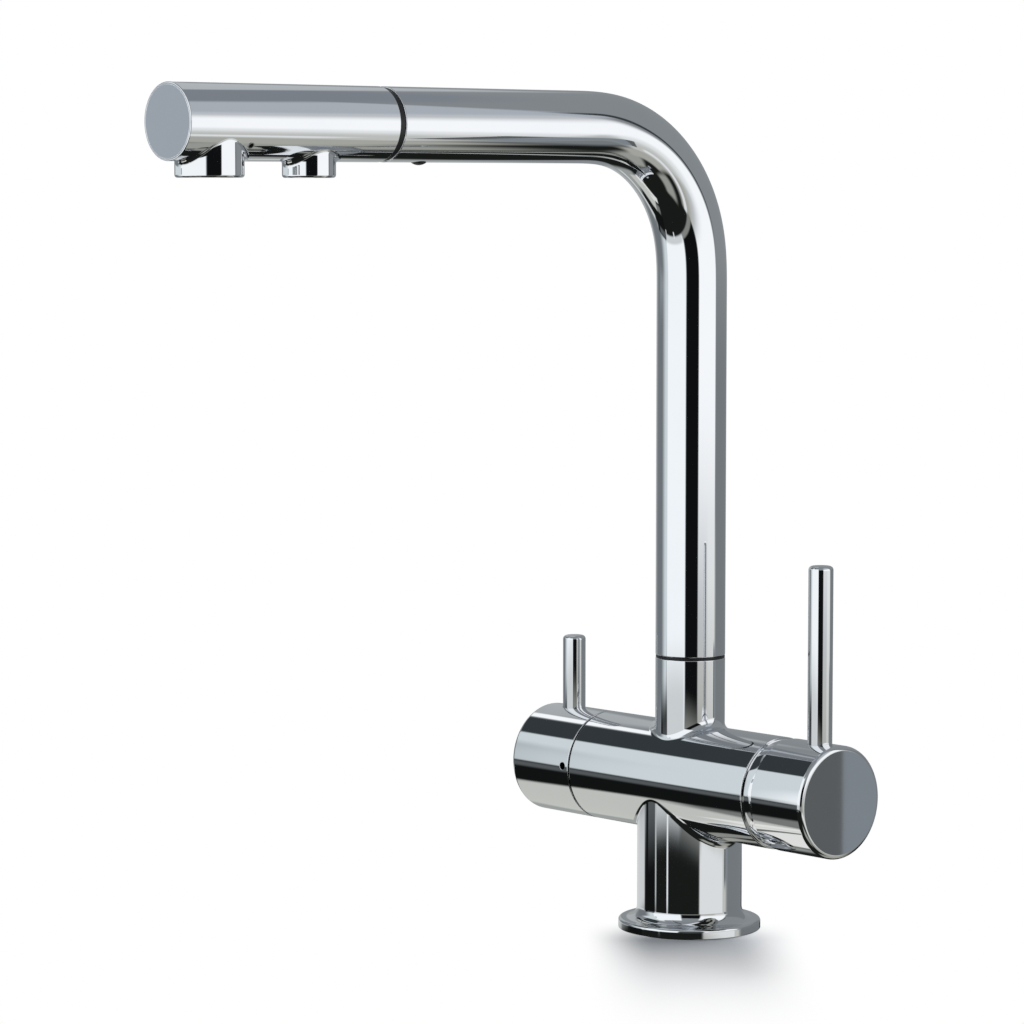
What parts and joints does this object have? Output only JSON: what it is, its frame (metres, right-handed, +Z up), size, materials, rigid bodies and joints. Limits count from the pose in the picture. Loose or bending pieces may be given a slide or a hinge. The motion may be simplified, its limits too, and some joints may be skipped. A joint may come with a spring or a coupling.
{
  "type": "drinking water filter tap",
  "caption": "Three-way kitchen tap: swivelling L-shaped spout, pull-out head with wide and narrow outlets, mixer lever and filtered water lever on a horizontal barrel.",
  "frame": {"origin": "centre of the flange's underside, on the axis of the column and of the spout's swivel", "axes": "+Z up along the column and riser; the spout points along -Y; the barrel lies along X, with the mixer lever at +X and the filtered water lever at -X"},
  "size_m": [0.1671, 0.2869, 0.3351],
  "materials": {
    "chrome_plate": "polished",
    "black_polymer": "satin",
    "raw_brass": "satin",
    "stainless_steel": "satin",
    "white_polymer": "satin",
    "ceramic_disc": "gloss",
    "black_rubber": "matte",
    "hose_sleeve": "satin"
  },
  "bodies": {
    "base": {"body_casting": "chrome_plate", "base_gasket": "black_rubber", "spout_glide_ring": "black_polymer", "spout_stop_screw": "stainless_steel", "mixed_hose_base": "hose_sleeve", "filter_hose_base": "hose_sleeve", "mixer_seal": "black_rubber", "mixer_cartridge": "white_polymer", "mixer_fixed_disc": "ceramic_disc", "cartridge_nut": "raw_brass", "mixer_collar": "chrome_plate", "filter_seal": "black_rubber", "filter_valve": "raw_brass", "filter_fixed_disc": "ceramic_disc", "filter_nut": "raw_brass"},
    "spout": {"spout_tube": "chrome_plate", "spout_spigot": "raw_brass", "spout_seals": "black_rubber", "dock_sleeve": "black_polymer", "dock_ring": "black_polymer", "dock_screw": "black_polymer", "mixed_hose_spout": "hose_sleeve", "filter_hose_spout": "hose_sleeve"},
    "head": {"head_shell": "chrome_plate", "head_end_cap": "chrome_plate", "head_core": "white_polymer", "head_core_screw": "stainless_steel", "tail_seal": "black_rubber", "mixed_check_valve": "white_polymer", "filter_check_valve": "white_polymer", "main_aerator_ring": "chrome_plate", "main_aerator_insert": "white_polymer", "main_aerator_seal": "black_rubber", "small_aerator_ring": "chrome_plate", "small_aerator_insert": "white_polymer", "small_aerator_seal": "black_rubber", "mixed_hose_head": "hose_sleeve", "filter_hose_head": "hose_sleeve", "hose_ferrules": "stainless_steel"},
    "turret": {"mixer_turret": "white_polymer"},
    "mixer_disc": {"mixer_moving_disc": "ceramic_disc", "mixer_disc_carrier": "white_polymer"},
    "mixer_lever": {"mixer_stem": "raw_brass", "mixer_knob": "chrome_plate", "mixer_rod": "chrome_plate", "mixer_grub_screw": "stainless_steel"},
    "filter_lever": {"filter_moving_disc": "ceramic_disc", "filter_stem": "raw_brass", "filter_knob": "chrome_plate", "filter_rod": "chrome_plate", "filter_grub_screw": "stainless_steel"}
  },
  "joints": [
    {"name": "spout_swivel", "type": "hinge", "parent": "base", "child": "spout", "pos_m": [0, 0, 0.11], "axis": [0, 0, 1], "range_deg": [-70, 70]},
    {"name": "head_pull_out", "type": "slide", "parent": "spout", "child": "head", "axis": [0, -1, 0], "range_m": [0, 0.08]},
    {"name": "mixer_temperature", "type": "hinge", "parent": "base", "child": "turret", "pos_m": [0.05385, 0, 0.0605], "axis": [1, 0, 0], "range_deg": [-45, 45]},
    {"name": "mixer_flow", "type": "hinge", "parent": "turret", "child": "mixer_lever", "pos_m": [0.05385, 0, 0.0605], "axis": [0, 1, 0], "range_deg": [0, 12]},
    {"name": "mixer_disc_slide", "type": "slide", "parent": "turret", "child": "mixer_disc", "axis": [0, 0, 1], "range_m": [0, 0.00397]},
    {"name": "filter_turn", "type": "hinge", "parent": "base", "child": "filter_lever", "pos_m": [-0.066, 0, 0.0605], "axis": [1, 0, 0], "range_deg": [0, 90]}
  ],
  "couplings": [
    {"joint": "mixer_disc_slide", "follows": "mixer_flow", "m_per_rad": 0.0189}
  ]
}
